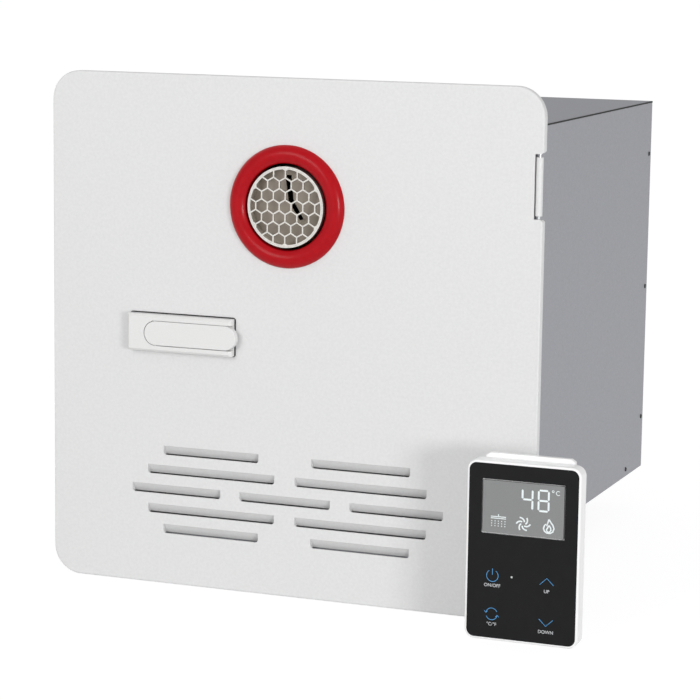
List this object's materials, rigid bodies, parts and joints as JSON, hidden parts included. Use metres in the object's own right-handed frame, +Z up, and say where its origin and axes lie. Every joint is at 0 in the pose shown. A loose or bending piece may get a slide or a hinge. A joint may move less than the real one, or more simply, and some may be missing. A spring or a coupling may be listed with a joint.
{
  "type": "built-in tankless propane water heater",
  "caption": "Built-in tankless propane water heater: square latched access door with round exhaust and louvres, mounting flange, metal case, wall controller.",
  "frame": {"origin": "centre of the mounting flange's back face, in the plane of the wall's outer surface", "axes": "+Z up, +Y into the wall towards the water and gas fittings, the door faces -Y, +X to the viewer's right"},
  "size_m": [0.4292, 0.4925, 0.381],
  "materials": {
    "galvanised": "fine matte grain",
    "black_steel": "satin",
    "white_paint": "satin",
    "steel": "satin",
    "rubber": "matte",
    "red_paint": "gloss",
    "stainless": "satin",
    "copper": "satin",
    "fin_stack": "satin",
    "brass": "satin",
    "cast_alloy": "satin",
    "black_plastic": "matte",
    "red_plastic": "gloss",
    "circuit_board": "satin",
    "ceramic": "matte",
    "white_plastic": "satin",
    "black_glass": "gloss",
    "display": "satin"
  },
  "bodies": {
    "heater": {"mounting_frame": "galvanised", "left_side_panel": "galvanised", "right_side_panel": "galvanised", "top_panel": "galvanised", "bottom_tray": "galvanised", "rear_panel": "galvanised", "case_rivets": "black_steel", "hinge_barrels": "white_paint", "door_seal": "rubber", "exhaust_tube": "stainless", "exhaust_guard": "stainless", "flue_deflector": "stainless", "burner_box": "stainless", "burner_bars": "stainless", "combustion_chamber": "copper", "heat_exchanger_shell": "copper", "flue_collector": "stainless", "heat_exchanger_fins": "fin_stack", "heat_exchanger_coil": "copper", "stack_supports": "galvanised", "blower_casing": "galvanised", "blower_motor": "black_steel", "gas_inlet_fitting": "brass", "gas_valve": "cast_alloy", "gas_valve_coils": "black_plastic", "gas_inlet_pipe": "cast_alloy", "gas_manifold": "cast_alloy", "gas_feed_pipe": "cast_alloy", "water_fittings": "brass", "flow_sensor": "black_plastic", "cold_supply_pipe": "copper", "relief_valve": "brass", "lever_and_rocker_pins": "steel", "cold_feed_pipe": "copper", "hot_water_pipe": "copper", "control_box": "black_plastic", "control_box_cover": "black_plastic", "circuit_board": "circuit_board", "igniter": "ceramic"},
    "door": {"door_panel": "white_paint", "door_straps": "white_paint", "hinge_pins": "steel", "exhaust_ring": "red_paint", "ring_retainer": "steel", "latch_plate": "white_plastic", "latch_pin": "steel", "latch_case": "black_plastic", "latch_spring": "steel", "latch_screws": "steel"},
    "handle": {"latch_handle": "white_plastic"},
    "bolt": {"latch_bolt": "steel"},
    "blower": {"blower_wheel": "galvanised", "blower_shaft": "steel"},
    "relief": {"relief_lever": "steel"},
    "rocker": {"power_rocker": "red_plastic"},
    "controller": {"controller_case": "white_plastic", "controller_glass": "black_glass", "controller_display": "display", "controller_wall_plate": "white_plastic"}
  },
  "joints": [
    {"name": "door_swing", "type": "hinge", "parent": "heater", "child": "door", "pos_m": [0.1869, -0.0059, 0], "axis": [0, 0, 1], "range_deg": [0, 110]},
    {"name": "handle_pull", "type": "hinge", "parent": "door", "child": "handle", "pos_m": [-0.1036, -0.0142, 0], "axis": [0, 0, -1], "range_deg": [0, 28], "stiffness_Nm_per_rad": 0.4},
    {"name": "bolt_slide", "type": "slide", "parent": "door", "child": "bolt", "axis": [1, 0, 0], "range_m": [0, 0.0085], "deforming": ["latch_spring"]},
    {"name": "blower_spin", "type": "hinge", "parent": "heater", "child": "blower", "pos_m": [-0.01, 0.14, -0.113], "axis": [0, 1, 0], "continuous": true},
    {"name": "relief_lift", "type": "hinge", "parent": "heater", "child": "relief", "pos_m": [0.1125, 0.06, -0.102], "axis": [1, 0, 0], "range_deg": [0, 80], "stiffness_Nm_per_rad": 0.02},
    {"name": "rocker_tilt", "type": "hinge", "parent": "heater", "child": "rocker", "pos_m": [-0.1244, 0.029, 0.046], "axis": [1, 0, 0], "range_deg": [0, 10]},
    {"name": "controller_aside", "type": "slide", "parent": "heater", "child": "controller", "axis": [1, 0, 0], "range_m": [0, 0.1]}
  ],
  "couplings": [
    {"joint": "bolt_slide", "follows": "handle_pull", "m_per_rad": 0.01637},
    {"joint": "controller_aside", "follows": "door_swing", "m_per_rad": 0.05}
  ]
}
